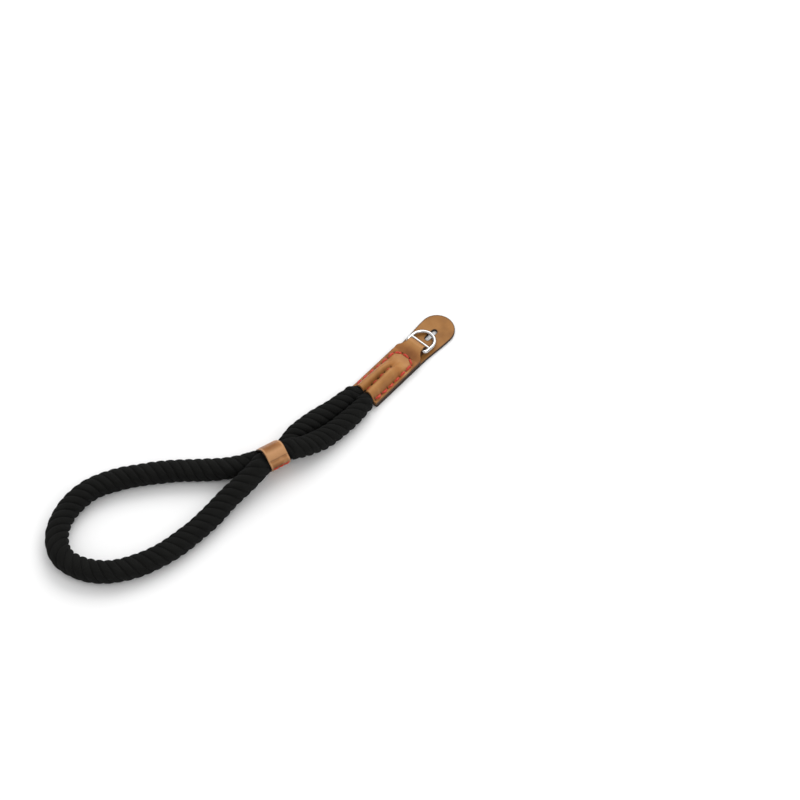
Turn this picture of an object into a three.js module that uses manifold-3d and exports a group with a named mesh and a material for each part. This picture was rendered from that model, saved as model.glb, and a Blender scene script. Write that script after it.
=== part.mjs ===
// A camera wrist strap, lying flat. One thick cotton rope is doubled into a wrist loop, squeezed by a
// leather keeper, and both its ends are sewn into a leather sleeve. The sleeve's folded end carries a
// chrome D-ring, and a leather pad under the ring keeps it off the camera's side.
// Millimetres. +X runs from the loop to the pad's tip, +Z is up, and z = 0 is the surface it lies on.
import * as THREE from "three";
import { mergeVertices } from "three/addons/utils/BufferGeometryUtils.js";
import Module from "manifold-3d";

const GAP = 0.3;
const LEATHER = 1.3;
const MERGE_TOLERANCE = 1e-3;

const ROPE = { sides: 12, steps: 84 };

// The rope's route from one hidden end to the other, with its section at each point. x, y and z are the
// centre. press is its size along the line between the two strands, broad is its size across that line,
// and lean is that line's tilt in degrees. The free rope is round, 11.5 across.
const ROUTE = [
  { x: 74.7, y: 11.2, z: 5.0, press: 3.0, broad: 3.2, lean: 0 },
  { x: 65.0, y: 8.9, z: 5.4, press: 3.8, broad: 4.0, lean: 0 },
  { x: 55.4, y: 6.3, z: 5.7, press: 4.6, broad: 4.6, lean: 0 },
  { x: 48.2, y: 5.6, z: 5.4, press: 8.3, broad: 9.2, lean: 0 },
  { x: 37.9, y: 3.6, z: 5.6, press: 9.6, broad: 11.0, lean: 3 },
  { x: 24.8, y: 2.1, z: 5.7, press: 10.7, broad: 11.3, lean: 6 },
  { x: 15.5, y: 0.4, z: 5.6, press: 9.8, broad: 11.0, lean: 18 },
  { x: 9.9, y: -2.1, z: 5.5, press: 8.9, broad: 10.7, lean: 38 },
  { x: 5.2, y: -4.4, z: 5.75, press: 6.5, broad: 9.0, lean: 57 },
  { x: -6.4, y: -4.4, z: 5.75, press: 6.5, broad: 9.0, lean: 57 },
  { x: -11.0, y: -2.6, z: 5.5, press: 9.0, broad: 10.7, lean: 38 },
  { x: -17.0, y: -1.1, z: 5.5, press: 10.3, broad: 11.3, lean: 22 },
  { x: -25.7, y: 1.9, z: 5.7, press: 11.3, broad: 11.4, lean: 8 },
  { x: -34.7, y: 6.6, z: 5.75, press: 11.5, broad: 11.5, lean: 0 },
  { x: -45.7, y: 12.8, z: 5.75, press: 11.5, broad: 11.5, lean: 0 },
  { x: -58.7, y: 18.6, z: 5.75, press: 11.5, broad: 11.5, lean: 0 },
  { x: -72.7, y: 23.3, z: 5.75, press: 11.5, broad: 11.5, lean: 0 },
  { x: -86.7, y: 24.8, z: 5.75, press: 11.5, broad: 11.5, lean: 0 },
  { x: -100.5, y: 20.2, z: 5.75, press: 11.5, broad: 11.5, lean: 0 },
  { x: -110.1, y: 11.2, z: 5.75, press: 11.5, broad: 11.5, lean: 0 },
  { x: -113.4, y: -0.4, z: 5.75, press: 11.5, broad: 11.5, lean: 0 },
  { x: -108.6, y: -11.2, z: 5.75, press: 11.5, broad: 11.5, lean: 0 },
  { x: -98.9, y: -19.5, z: 5.75, press: 11.5, broad: 11.5, lean: 0 },
  { x: -85.7, y: -23.9, z: 5.75, press: 11.5, broad: 11.5, lean: 0 },
  { x: -71.2, y: -24.8, z: 5.75, press: 11.5, broad: 11.5, lean: 0 },
  { x: -57.2, y: -22.8, z: 5.8, press: 11.5, broad: 11.5, lean: 0 },
  { x: -43.7, y: -19.3, z: 6.1, press: 11.5, broad: 11.5, lean: 0 },
  { x: -31.2, y: -15.0, z: 7.2, press: 11.3, broad: 11.5, lean: -8 },
  { x: -20.0, y: -12.5, z: 9.4, press: 10.4, broad: 11.3, lean: -22 },
  { x: -12.0, y: -10.5, z: 11.2, press: 9.0, broad: 10.7, lean: -38 },
  { x: -6.4, y: -8.4, z: 11.85, press: 6.5, broad: 9.0, lean: -57 },
  { x: 5.2, y: -8.4, z: 11.85, press: 6.5, broad: 9.0, lean: -57 },
  { x: 10.4, y: -9.9, z: 11.0, press: 8.9, broad: 10.7, lean: -38 },
  { x: 16.8, y: -10.0, z: 8.9, press: 9.8, broad: 11.0, lean: -18 },
  { x: 26.8, y: -9.0, z: 6.4, press: 10.7, broad: 11.3, lean: -6 },
  { x: 39.8, y: -6.2, z: 5.7, press: 9.6, broad: 11.0, lean: -3 },
  { x: 50.8, y: -2.6, z: 5.4, press: 8.3, broad: 9.2, lean: 0 },
  { x: 57.0, y: 0.9, z: 5.7, press: 4.6, broad: 4.6, lean: 0 },
  { x: 66.5, y: 4.3, z: 5.4, press: 3.8, broad: 4.0, lean: 0 },
  { x: 75.9, y: 7.4, z: 5.0, press: 3.0, broad: 3.2, lean: 0 },
];

// The keeper's hollow is an oval that stands on its narrow side and leans with the two strands in it.
const KEEPER = {
  x: -0.6, y: -6.4, z: 8.8,
  lean: THREE.MathUtils.degToRad(57),
  length: 10.6,
  halfAlong: 7.3,
  halfAcross: 5.2,
  squareness: 3,
  corners: 36,
};

// The leather end starts at the sleeve's mouth and runs along its own axis, turned from +X.
const LEATHER_END = { x: 56.2, y: 3.6, turn: THREE.MathUtils.degToRad(17.2) };

const PAD = {
  thickness: 1.5,
  start: 0.5,
  stripHalf: 8.1,
  stripEnd: 36,
  tipCentre: 56.4,
  tipRadius: 9.2,
  arcSegments: 14,
};
const LUG_SLOT = { start: 47.4, end: 55.6, half: 1.3 };

const SLEEVE = {
  half: 8.0,
  foldHalf: 4.9,
  shoulderStart: 31,
  shoulderEnd: 37.5,
  bulgeHold: 16,
  bulgeEnd: 29,
  slopeStart: 32,
  topPoints: 31,
  floor: PAD.thickness + GAP,
};

const RING = {
  wire: 0.95,
  halfWidth: 6.15,
  corner: 1.7,
  legs: 5,
  reach: 11.85,
  crossBar: 3.8,
  wireSides: 10,
  cornerSteps: 4,
  bowSteps: 18,
};

// The fold wraps the ring's hidden bar: its centre is the ring's pivot.
const TUNNEL = RING.wire + GAP;
const FOLD = { x: 39.5, radius: TUNNEL + LEATHER, z: SLEEVE.floor + TUNNEL + LEATHER };

const wasm = await Module();
wasm.setup();

const cotton = new THREE.MeshStandardMaterial({ color: 0x1a1a1b, roughness: 0.95, metalness: 0 });
const keeperTan = new THREE.MeshStandardMaterial({ color: 0xb06d3c, roughness: 0.55, metalness: 0 });
const sleeveTan = new THREE.MeshStandardMaterial({ color: 0xb5713f, roughness: 0.5, metalness: 0 });
const padTan = new THREE.MeshStandardMaterial({ color: 0xa8662f, roughness: 0.5, metalness: 0 });
const chrome = new THREE.MeshStandardMaterial({ color: 0xdcdde0, roughness: 0.15, metalness: 1 });

function toSolid(geometry) {
  const bare = geometry.clone();
  bare.deleteAttribute("normal");
  bare.deleteAttribute("uv");
  const merged = mergeVertices(bare, MERGE_TOLERANCE);
  const mesh = new wasm.Mesh({
    numProp: 3,
    vertProperties: new Float32Array(merged.attributes.position.array),
    triVerts: new Uint32Array(merged.index.array),
  });
  mesh.merge();
  return new wasm.Manifold(mesh);
}

function toGeometry(solid) {
  const mesh = solid.getMesh();
  const geometry = new THREE.BufferGeometry();
  geometry.setAttribute("position", new THREE.BufferAttribute(mesh.vertProperties, mesh.numProp));
  geometry.setIndex(new THREE.BufferAttribute(mesh.triVerts, 1));
  geometry.computeVertexNormals();
  return geometry;
}

function namedMesh(name, geometry, material) {
  const mesh = new THREE.Mesh(geometry, material);
  mesh.name = name;
  return mesh;
}

// Skins a row of equal outlines, each set in place by its own matrix. An outline turns anticlockwise about
// its matrix's z axis, and the row runs along that axis. A looped skin joins its last outline to its first,
// and any other gets a flat cap at each end.
function loft(outlines, places, looped = false) {
  const count = outlines[0].length;
  const positions = [];
  outlines.forEach((outline, row) => {
    for (const point of outline) {
      const corner = new THREE.Vector3(point.x, point.y, 0).applyMatrix4(places[row]);
      positions.push(corner.x, corner.y, corner.z);
    }
  });
  const triangles = [];
  const spans = looped ? outlines.length : outlines.length - 1;
  for (let row = 0; row < spans; row += 1) {
    const here = row * count;
    const next = ((row + 1) % outlines.length) * count;
    for (let side = 0; side < count; side += 1) {
      const other = (side + 1) % count;
      triangles.push(here + side, here + other, next + other);
      triangles.push(here + side, next + other, next + side);
    }
  }
  if (!looped) {
    const last = (outlines.length - 1) * count;
    for (const [a, b, c] of THREE.ShapeUtils.triangulateShape(outlines[0], [])) {
      triangles.push(c, b, a);
    }
    for (const [a, b, c] of THREE.ShapeUtils.triangulateShape(outlines.at(-1), [])) {
      triangles.push(last + a, last + b, last + c);
    }
  }
  const geometry = new THREE.BufferGeometry();
  geometry.setAttribute("position", new THREE.Float32BufferAttribute(positions, 3));
  geometry.setIndex(triangles);
  geometry.computeVertexNormals();
  return geometry;
}

// An oval about its own centre. A squareness of 2 is an ellipse, and more makes it boxier.
function oval(halfX, halfY, corners, squareness = 2) {
  const outline = [];
  for (let corner = 0; corner < corners; corner += 1) {
    const angle = (2 * Math.PI * corner) / corners;
    const cos = Math.cos(angle);
    const sin = Math.sin(angle);
    const x = halfX * Math.sign(cos) * Math.abs(cos) ** (2 / squareness);
    const y = halfY * Math.sign(sin) * Math.abs(sin) ** (2 / squareness);
    outline.push(new THREE.Vector2(x, y));
  }
  return outline;
}

// The rope's skin, grown by swell on every side, its two ends included.
function ropeSkin(swell = 0) {
  const points = ROUTE.map((row) => new THREE.Vector3(row.x, row.y, row.z));
  points[0].lerp(points[1], -swell / points[0].distanceTo(points[1]));
  points.at(-1).lerp(points.at(-2), -swell / points.at(-1).distanceTo(points.at(-2)));
  const route = new THREE.CatmullRomCurve3(points, false, "catmullrom", 0.5);
  const shapes = ROUTE.map((row) => new THREE.Vector3(row.press, row.broad, row.lean));
  const shape = new THREE.CatmullRomCurve3(shapes, false, "catmullrom", 0.5);
  const outlines = [];
  const places = [];
  for (let step = 0; step <= ROPE.steps; step += 1) {
    const t = route.getUtoTmapping(step / ROPE.steps);
    const section = shape.getPoint(t);
    const tangent = route.getTangent(t);
    const side = new THREE.Vector3(0, 0, 1).cross(tangent).normalize();
    const up = tangent.clone().cross(side);
    const lean = THREE.MathUtils.degToRad(section.z);
    const pressed = side.clone().multiplyScalar(Math.cos(lean)).addScaledVector(up, Math.sin(lean));
    const across = tangent.clone().cross(pressed);
    outlines.push(oval(section.x / 2 + swell, section.y / 2 + swell, ROPE.sides));
    places.push(new THREE.Matrix4().makeBasis(pressed, across, tangent).setPosition(route.getPoint(t)));
  }
  return loft(outlines, places);
}

function ropeLoop() {
  return namedMesh("rope_loop", ropeSkin(), cotton);
}

function keeperTube(length, grow) {
  const places = [];
  for (const end of [-0.5, 0.5]) {
    places.push(new THREE.Matrix4().makeTranslation(0, 0, end * length));
  }
  const outline = oval(KEEPER.halfAlong + grow, KEEPER.halfAcross + grow, KEEPER.corners, KEEPER.squareness);
  return toSolid(loft([outline, outline], places));
}

// A strip wrapped tightly round both strands, modelled along z and then laid along the rope.
function keeperBand() {
  const hollow = keeperTube(KEEPER.length * 2, 0);
  const band = keeperTube(KEEPER.length, LEATHER).subtract(hollow);
  const mesh = namedMesh("keeper_band", toGeometry(band), keeperTan);
  const stacked = new THREE.Vector3(0, -Math.cos(KEEPER.lean), Math.sin(KEEPER.lean));
  const along = new THREE.Vector3(1, 0, 0);
  const across = along.clone().cross(stacked);
  mesh.quaternion.setFromRotationMatrix(new THREE.Matrix4().makeBasis(stacked, across, along));
  mesh.position.set(KEEPER.x, KEEPER.y, KEEPER.z);
  return mesh;
}

function padOutline() {
  const { start, stripHalf, stripEnd, tipCentre, tipRadius } = PAD;
  const swing = (tipCentre - stripEnd) / 2;
  const shape = new THREE.Shape();
  shape.moveTo(start, -stripHalf);
  shape.lineTo(stripEnd, -stripHalf);
  shape.bezierCurveTo(stripEnd + swing, -stripHalf, tipCentre - swing, -tipRadius, tipCentre, -tipRadius);
  shape.absarc(tipCentre, 0, tipRadius, -Math.PI / 2, Math.PI / 2);
  shape.bezierCurveTo(tipCentre - swing, tipRadius, stripEnd + swing, stripHalf, stripEnd, stripHalf);
  shape.lineTo(start, stripHalf);
  shape.closePath();
  return shape;
}

// The round-ended slot through which the camera's own lug reaches the ring.
function lugSlot() {
  const { start, end, half } = LUG_SLOT;
  const slot = new THREE.Path();
  slot.absarc(end - half, 0, half, Math.PI / 2, -Math.PI / 2, true);
  slot.absarc(start + half, 0, half, -Math.PI / 2, Math.PI / 2, true);
  slot.closePath();
  return slot;
}

function lugPad() {
  const shape = padOutline();
  shape.holes.push(lugSlot());
  const options = { depth: PAD.thickness, bevelEnabled: false, curveSegments: PAD.arcSegments };
  return namedMesh("lug_pad", new THREE.ExtrudeGeometry(shape, options), padTan);
}

function sleeveHalfWidth(along) {
  const taper = THREE.MathUtils.smoothstep(along, SLEEVE.shoulderStart, SLEEVE.shoulderEnd);
  return THREE.MathUtils.lerp(SLEEVE.half, SLEEVE.foldHalf, taper);
}

// The rope end inside the sleeve at a given distance from the mouth, in the leather end's own frame.
function hiddenRope(along) {
  const [end, middle, mouth] = ROUTE.slice(0, 3).map((row) => {
    const dx = row.x - LEATHER_END.x;
    const dy = row.y - LEATHER_END.y;
    const cos = Math.cos(LEATHER_END.turn);
    const sin = Math.sin(LEATHER_END.turn);
    return { along: dx * cos + dy * sin, across: dy * cos - dx * sin, ...row };
  });
  const [far, near] = along > middle.along ? [end, middle] : [middle, mouth];
  const share = THREE.MathUtils.clamp((along - near.along) / (far.along - near.along), 0, 1);
  const blend = (key) => THREE.MathUtils.lerp(near[key], far[key], share);
  return { across: blend("across"), z: blend("z"), press: blend("press"), broad: blend("broad") };
}

// The height of the sleeve's upper face: two flat layers, the bulge over each rope end, and the rise to the
// fold's round end.
function sleeveTop(along, across) {
  const flat = SLEEVE.floor + 2 * LEATHER;
  const rope = hiddenRope(along);
  const halfWide = rope.press / 2 + GAP + LEATHER;
  const offset = Math.min(1, Math.abs(Math.abs(across) - rope.across) / halfWide);
  const crown = rope.z + (rope.broad / 2 + GAP + LEATHER) * Math.sqrt(1 - offset * offset);
  const fade = 1 - THREE.MathUtils.smoothstep(along, SLEEVE.bulgeHold, SLEEVE.bulgeEnd);
  const bulge = flat + fade * Math.max(0, crown - flat);
  return Math.max(bulge, foldTop(along));
}

// The rise runs straight from the flat layers until it touches the fold's round end.
function foldTop(along) {
  const flat = SLEEVE.floor + 2 * LEATHER;
  const run = FOLD.x - SLEEVE.slopeStart;
  const slope = Math.asin((FOLD.radius - (flat - FOLD.z)) / run);
  if (along < SLEEVE.slopeStart) {
    return flat;
  }
  if (along < FOLD.x - FOLD.radius * Math.sin(slope)) {
    return flat + (along - SLEEVE.slopeStart) * Math.tan(slope);
  }
  return FOLD.z + Math.sqrt(FOLD.radius ** 2 - (along - FOLD.x) ** 2);
}

function sleeveSection(along) {
  const half = sleeveHalfWidth(along);
  const past = Math.max(0, along - FOLD.x);
  const bottom = FOLD.z - Math.sqrt(FOLD.radius ** 2 - past ** 2);
  const outline = [new THREE.Vector2(-half, bottom), new THREE.Vector2(half, bottom)];
  for (let point = 0; point < SLEEVE.topPoints; point += 1) {
    const across = half * (1 - (2 * point) / (SLEEVE.topPoints - 1));
    outline.push(new THREE.Vector2(across, sleeveTop(along, across)));
  }
  return outline;
}

function endSleeve(endPlace) {
  const stations = [0, 4, 8, 12, 16, 19, 22, 25, 28, 31, 32, 34, 36, 37.5];
  for (const angle of [-15, 0, 20, 40, 60, 75, 84]) {
    stations.push(FOLD.x + FOLD.radius * Math.sin(THREE.MathUtils.degToRad(angle)));
  }
  const across = new THREE.Vector3(0, 1, 0);
  const up = new THREE.Vector3(0, 0, 1);
  const along = new THREE.Vector3(1, 0, 0);
  const places = stations.map((x) => new THREE.Matrix4().makeBasis(across, up, along).setPosition(x, 0, 0));
  const outer = toSolid(loft(stations.map(sleeveSection), places));
  const channels = toSolid(ropeSkin(GAP).applyMatrix4(endPlace.clone().invert()));
  const tunnel = new THREE.CylinderGeometry(TUNNEL, TUNNEL, 4 * SLEEVE.half, 20);
  tunnel.translate(FOLD.x, 0, FOLD.z);
  const sleeve = outer.subtract(channels).subtract(toSolid(tunnel));
  return namedMesh("end_sleeve", toGeometry(sleeve), sleeveTan);
}

// The D-ring lies in its own flat plane, its hidden bar along y through the pivot and its bow towards +x.
function ringPath() {
  const { halfWidth, corner, legs, reach, cornerSteps, bowSteps } = RING;
  const path = [];
  for (let step = 0; step <= bowSteps; step += 1) {
    const angle = -Math.PI / 2 + (Math.PI * step) / bowSteps;
    path.push(new THREE.Vector2(legs + (reach - legs) * Math.cos(angle), halfWidth * Math.sin(angle)));
  }
  for (const side of [1, -1]) {
    for (let step = 0; step <= cornerSteps; step += 1) {
      const share = side > 0 ? step / cornerSteps : 1 - step / cornerSteps;
      const angle = (Math.PI / 2) * share;
      const x = corner * (1 - Math.sin(angle));
      const y = side * (halfWidth - corner * (1 - Math.cos(angle)));
      path.push(new THREE.Vector2(x, y));
    }
  }
  return path;
}

function dRing() {
  const path = ringPath();
  const up = new THREE.Vector3(0, 0, 1);
  const outlines = [];
  const places = [];
  path.forEach((point, index) => {
    const before = path.at(index - 1);
    const after = path[(index + 1) % path.length];
    const heading = after.clone().sub(before).normalize();
    const tangent = new THREE.Vector3(heading.x, heading.y, 0);
    const side = up.clone().cross(tangent);
    outlines.push(oval(RING.wire, RING.wire, RING.wireSides));
    places.push(new THREE.Matrix4().makeBasis(side, up, tangent).setPosition(point.x, point.y, 0));
  });
  const wire = toSolid(loft(outlines, places, true));
  const bar = new THREE.CylinderGeometry(RING.wire, RING.wire, 2 * RING.halfWidth, RING.wireSides);
  bar.translate(RING.crossBar, 0, 0);
  return namedMesh("d_ring", toGeometry(wire.add(toSolid(bar))), chrome);
}

// At rest the bow has dropped until it lies on the pad.
function hungRing() {
  const drop = FOLD.z - (PAD.thickness + GAP + RING.wire);
  const pivot = new THREE.Group();
  pivot.position.set(FOLD.x, 0, FOLD.z);
  pivot.rotation.y = Math.asin(drop / RING.reach);
  pivot.add(dRing());
  return pivot;
}

const leatherEnd = new THREE.Group();
leatherEnd.position.set(LEATHER_END.x, LEATHER_END.y, 0);
leatherEnd.rotation.z = LEATHER_END.turn;
leatherEnd.updateMatrix();
leatherEnd.add(lugPad(), endSleeve(leatherEnd.matrix), hungRing());

const strap = new THREE.Group();
strap.add(ropeLoop(), keeperBand(), leatherEnd);

export default strap;
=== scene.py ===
import math

import bmesh
import bpy
import numpy as np
from mathutils import Matrix, Vector


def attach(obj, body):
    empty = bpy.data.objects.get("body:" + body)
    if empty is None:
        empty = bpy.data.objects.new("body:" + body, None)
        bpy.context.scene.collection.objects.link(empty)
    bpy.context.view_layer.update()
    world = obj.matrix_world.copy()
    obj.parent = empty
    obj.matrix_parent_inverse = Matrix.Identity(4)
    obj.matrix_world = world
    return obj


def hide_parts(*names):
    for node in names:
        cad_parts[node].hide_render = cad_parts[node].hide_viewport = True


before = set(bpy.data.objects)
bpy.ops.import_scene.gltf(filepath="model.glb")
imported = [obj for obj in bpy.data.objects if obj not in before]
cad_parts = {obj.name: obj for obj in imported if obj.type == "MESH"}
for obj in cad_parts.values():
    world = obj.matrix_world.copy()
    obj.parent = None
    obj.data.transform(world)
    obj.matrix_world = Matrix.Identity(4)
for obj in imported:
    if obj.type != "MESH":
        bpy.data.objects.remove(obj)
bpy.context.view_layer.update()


# ---- Camera -----------------------------------------------------------------------------------------
# The camera looks down on the strap from the wrist loop's side, as a person standing at the table does.
# It aims at the table just beside the leather end, so the wrist loop lies low on its left.
LOOK_AT = Vector((0.0714, -0.0061, 0.0))
AZIMUTH = math.radians(-31.5)
ELEVATION = math.radians(57.0)
CAMERA_DISTANCE = 0.9
CAMERA_LENS = 80.2


def placed(name, data):
    """A new object in the scene that holds this mesh, lamp or camera."""
    thing = bpy.data.objects.new(name, data)
    bpy.context.scene.collection.objects.link(thing)
    return thing


def aimed_back(direction):
    """The turn of a camera or lamp that looks against this direction, with its top upwards."""
    return (-direction).to_track_quat("-Z", "Y").to_euler()


camera = placed("studio_camera", bpy.data.cameras.new("studio_camera"))
camera.data.lens = CAMERA_LENS
towards_camera = Vector((
    math.sin(AZIMUTH) * math.cos(ELEVATION),
    -math.cos(AZIMUTH) * math.cos(ELEVATION),
    math.sin(ELEVATION),
))
camera.location = LOOK_AT + CAMERA_DISTANCE * towards_camera
camera.rotation_euler = aimed_back(towards_camera)
bpy.context.scene.camera = camera


# ---- Wrist rope -------------------------------------------------------------------------------------
# Soft black cotton rope of four strands laid to the right, doubled into the wrist loop. The leather squeezes
# it oval at the keeper and at the sleeve's mouth, and its two ends are glued and sewn inside the sleeve.
ROPE_WIDTH = 0.0115
STRANDS = 4
LAY_LENGTH = 0.018
STRAND_RADIUS = 0.21
STRAND_OVERLAP = 1.03
POINTS_PER_STRAND = 12
SAMPLES_PER_SPAN = 40
RING_STEP = 0.00045
MILLIMETRES = 1000.0
# The strands shrink by up to twice this share in a slow wave, which runs along the rope and round it.
SLACK = 0.012
SLACK_WAVE_ALONG = 410.0
SLACK_WAVE_ROUND = 2.1
SWELL_LENGTH = 0.0065
SLEEVE_SWELL = 0.26
KEEPER_SWELL = 0.08

# Each row is x, y, z, the squeezed width and the broad width in metres, and the squeeze's lean in degrees.
ROPE_ROUTE = (
    (0.0747, 0.0112, 0.0050, 0.0034, 0.0034, 0),
    (0.0650, 0.0089, 0.0054, 0.0044, 0.0044, 0),
    (0.0554, 0.0063, 0.0057, 0.0057, 0.0052, 0),
    (0.0482, 0.0056, 0.0054, 0.0091, 0.0104, 0),
    (0.0379, 0.0036, 0.0056, 0.0101, 0.0111, 3),
    (0.0248, 0.0021, 0.0057, 0.0110, 0.0113, 6),
    (0.0155, 0.0004, 0.0056, 0.0106, 0.0111, 18),
    (0.0099, -0.0021, 0.0055, 0.0095, 0.0109, 38),
    (0.0052, -0.0044, 0.00575, 0.0073, 0.0103, 57),
    (-0.0064, -0.0044, 0.00575, 0.0073, 0.0103, 57),
    (-0.0110, -0.0026, 0.0055, 0.0097, 0.0109, 38),
    (-0.0170, -0.0011, 0.0055, 0.0107, 0.0113, 22),
    (-0.0257, 0.0019, 0.0057, 0.0114, 0.0114, 8),
    (-0.0347, 0.0066, 0.00575, 0.0115, 0.0115, 0),
    (-0.0457, 0.0128, 0.00575, 0.0115, 0.0115, 0),
    (-0.0587, 0.0186, 0.00575, 0.0115, 0.0115, 0),
    (-0.0727, 0.0233, 0.00575, 0.0115, 0.0115, 0),
    (-0.0867, 0.0248, 0.00575, 0.0115, 0.0115, 0),
    (-0.1005, 0.0202, 0.00575, 0.0115, 0.0115, 0),
    (-0.1101, 0.0112, 0.00575, 0.0115, 0.0115, 0),
    (-0.1134, -0.0004, 0.00575, 0.0115, 0.0115, 0),
    (-0.1086, -0.0112, 0.00575, 0.0115, 0.0115, 0),
    (-0.0989, -0.0195, 0.00575, 0.0115, 0.0115, 0),
    (-0.0857, -0.0239, 0.00575, 0.0115, 0.0115, 0),
    (-0.0712, -0.0248, 0.00575, 0.0115, 0.0115, 0),
    (-0.0572, -0.0228, 0.0058, 0.0115, 0.0115, 0),
    (-0.0437, -0.0193, 0.0061, 0.0115, 0.0115, 0),
    (-0.0312, -0.0150, 0.0072, 0.0114, 0.0115, -8),
    (-0.0200, -0.0125, 0.0094, 0.0108, 0.0113, -22),
    (-0.0120, -0.0105, 0.0112, 0.0097, 0.0109, -38),
    (-0.0064, -0.0084, 0.01185, 0.0073, 0.0103, -57),
    (0.0052, -0.0084, 0.01185, 0.0073, 0.0103, -57),
    (0.0104, -0.0099, 0.0110, 0.0096, 0.0109, -38),
    (0.0168, -0.0100, 0.0089, 0.0106, 0.0111, -18),
    (0.0268, -0.0090, 0.0064, 0.0110, 0.0113, -6),
    (0.0398, -0.0062, 0.0057, 0.0101, 0.0111, -3),
    (0.0508, -0.0026, 0.0054, 0.0091, 0.0104, 0),
    (0.0570, 0.0009, 0.0057, 0.0057, 0.0052, 0),
    (0.0665, 0.0043, 0.0054, 0.0044, 0.0044, 0),
    (0.0759, 0.0074, 0.0050, 0.0034, 0.0034, 0),
)
# The leather end's own frame starts in the middle of the sleeve's mouth and looks towards the pad's tip.
END_PLACE = Matrix.Translation((0.0562, 0.0036, 0)) @ Matrix.Rotation(math.radians(17.2), 4, "Z")
KEEPER_CENTRE = Vector((-0.0016, -0.0064, 0.0088))
KEEPER_WIDTH = 0.0106


def smooth_rows(rows, per_span):
    """A smooth curve through every row, with per_span samples between one row and the next."""
    rows = np.array(rows, float)
    rows = np.vstack([2 * rows[0] - rows[1], rows, 2 * rows[-1] - rows[-2]])
    samples = []
    for before, here, there, after in zip(rows, rows[1:], rows[2:], rows[3:]):
        for share in np.arange(per_span) / per_span:
            bend = 2 * before - 5 * here + 4 * there - after
            twist = 3 * here - before - 3 * there + after
            samples.append(here + 0.5 * share * (there - before + share * (bend + share * twist)))
    samples.append(rows[-2])
    return np.array(samples)


def evenly_spaced(line, step):
    """The same line sampled at equal distances along its first three columns, and those distances."""
    gaps = np.linalg.norm(np.diff(line[:, :3], axis=0), axis=1)
    reached = np.concatenate([[0.0], np.cumsum(gaps)])
    wanted = np.linspace(0.0, reached[-1], int(round(reached[-1] / step)) + 1)
    columns = [np.interp(wanted, reached, column) for column in line.T]
    return np.stack(columns, axis=1), wanted


def unit(vectors):
    """The same directions, each one long."""
    return vectors / np.linalg.norm(vectors, axis=-1, keepdims=True)


def swollen(centres):
    """How much fuller the soft rope is just outside the leather that squeezes it, as a factor."""
    from_mouth = centres[:, :2] - np.array(END_PLACE.translation)[:2]
    outside_sleeve = -from_mouth @ np.array(END_PLACE.to_3x3().col[0])[:2]
    outside_keeper = np.abs(centres[:, 0] - KEEPER_CENTRE.x) - KEEPER_WIDTH / 2
    at_sleeve = np.sin(np.pi * np.clip(outside_sleeve / SWELL_LENGTH, 0, 1))
    at_keeper = np.sin(np.pi * np.clip(outside_keeper / SWELL_LENGTH, 0, 1))
    return 1 + SLEEVE_SWELL * at_sleeve + KEEPER_SWELL * at_keeper


def rope_route(centres, reached):
    """The route as a line of points that carry the rope's half widths there as two crossed vectors."""
    tangent = unit(np.gradient(centres[:, :3], axis=0))
    side = unit(np.cross((0.0, 0.0, 1.0), tangent))
    up = np.cross(tangent, side)
    lean = np.radians(centres[:, 5:6])
    pressed = side * np.cos(lean) + up * np.sin(lean)
    broad = np.cross(tangent, pressed)
    fullness = swollen(centres)[:, None]
    links = [(index, index + 1) for index in range(len(centres) - 1)]
    route = bpy.data.meshes.new("rope_route")
    route.from_pydata(centres[:, :3].tolist(), links, [])
    vectors = {
        "centre": centres[:, :3],
        "pressed": pressed * fullness * centres[:, 3:4] / 2,
        "broad": broad * fullness * centres[:, 4:5] / 2,
    }
    for name, values in vectors.items():
        route.attributes.new(name, "FLOAT_VECTOR", "POINT").data.foreach_set("vector", values.ravel())
    route.attributes.new("reached", "FLOAT", "POINT").data.foreach_set("value", reached)
    return route


def add_node(tree, kind, sockets=None, **settings):
    """A node with its settings, and with each named input set to a value or linked to an output."""
    node = tree.nodes.new(kind)
    for name, value in settings.items():
        setattr(node, name, value)
    for name, value in (sockets or {}).items():
        if isinstance(value, bpy.types.NodeSocket):
            tree.links.new(value, node.inputs[name])
        else:
            node.inputs[name].default_value = value
    return node


def number(tree, operation, *values):
    """One step of arithmetic in a node tree, on plain numbers or on outputs."""
    return add_node(tree, "ShaderNodeMath", dict(enumerate(values)), operation=operation).outputs[0]


def carried(tree, name, kind="FLOAT"):
    """What the geometry carries under this name."""
    node = add_node(tree, "GeometryNodeInputNamedAttribute", {"Name": name}, data_type=kind)
    return node.outputs["Attribute"]


def marked(tree, geometry, name, value, kind="FLOAT", domain="POINT"):
    """The geometry with this value stored on it under this name."""
    store = add_node(
        tree,
        "GeometryNodeStoreNamedAttribute",
        {"Geometry": geometry, "Name": name},
        data_type=kind,
        domain=domain,
    )
    tree.links.new(value, store.inputs["Value"])
    return store.outputs["Geometry"]


def open_tree(name, inputs):
    """A new node tree that makes a mesh, and the outputs of its named inputs."""
    tree = bpy.data.node_groups.new(name, "GeometryNodeTree")
    for socket, kind in inputs.items():
        tree.interface.new_socket(socket, in_out="INPUT", socket_type="NodeSocket" + kind)
    tree.interface.new_socket("Mesh", in_out="OUTPUT", socket_type="NodeSocketGeometry")
    return tree, tree.nodes.new("NodeGroupInput").outputs


def close_tree(tree, geometry, material):
    """Ends a node tree with a plain mesh in its material."""
    real = add_node(tree, "GeometryNodeRealizeInstances", {"Geometry": geometry})
    dressed = add_node(
        tree, "GeometryNodeSetMaterial", {"Geometry": real.outputs["Geometry"], "Material": material}
    )
    leave = tree.nodes.new("NodeGroupOutput")
    tree.links.new(dressed.outputs["Geometry"], leave.inputs["Mesh"])
    return tree


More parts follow.
